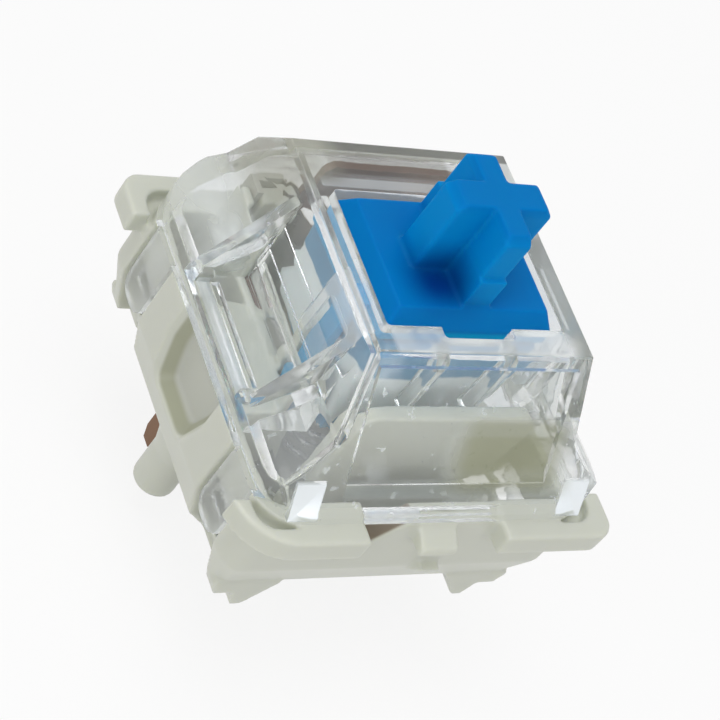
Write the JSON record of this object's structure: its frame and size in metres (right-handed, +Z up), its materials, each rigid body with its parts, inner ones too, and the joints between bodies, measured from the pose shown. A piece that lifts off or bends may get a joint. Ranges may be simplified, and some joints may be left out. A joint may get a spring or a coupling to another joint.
{
  "type": "mechanical keyboard switch",
  "caption": "Clear-top mechanical keyboard switch with a blue cross stem, click jacket, return spring and leaf contacts, made to be soldered to a circuit board.",
  "frame": {"origin": "axis of the centre post, in the plane of the circuit board's face that the switch sits on", "axes": "+Z up along the stem's travel, +Y towards the contacts, +X to the right"},
  "size_m": [0.0156, 0.0156, 0.0185],
  "materials": {
    "milky_plastic": "translucent milky injection-moulded plastic",
    "clear_plastic": "clear polycarbonate, moulded",
    "blue_plastic": "satin blue moulded acetal",
    "white_plastic": "white moulded acetal",
    "copper_alloy": "stamped copper alloy",
    "leaf_alloy": "thin spring bronze",
    "gold": "gold-clad contact ridge",
    "spring_steel": "drawn spring wire"
  },
  "bodies": {
    "housing": {"lower_housing": "milky_plastic", "upper_housing": "clear_plastic", "moving_terminal": "copper_alloy", "fixed_terminal": "copper_alloy", "fixed_contact_point": "gold", "return_spring": "spring_steel"},
    "plunger": {"stem": "blue_plastic"},
    "jacket": {"click_jacket": "white_plastic"},
    "leaf": {"contact_leaf": "leaf_alloy", "moving_contact_point": "gold"}
  },
  "joints": [
    {"name": "stem_slide", "type": "slide", "parent": "housing", "child": "plunger", "axis": [0, 0, -1], "range_m": [0, 0.004], "stiffness_N_per_m": 90, "springref_m": -0.005, "deforming": ["return_spring"]},
    {"name": "jacket_slip", "type": "slide", "parent": "plunger", "child": "jacket", "axis": [0, 0, -1], "range_m": [0, 0.0008]},
    {"name": "leaf_flex", "type": "hinge", "parent": "housing", "child": "leaf", "pos_m": [-0.00265, 0.0059, 0.0072], "axis": [0, 0, -1], "range_deg": [0, 3.65]}
  ],
  "couplings": [
    {"joint": "leaf_flex", "follows": "stem_slide", "rad_per_m": 15.708}
  ]
}
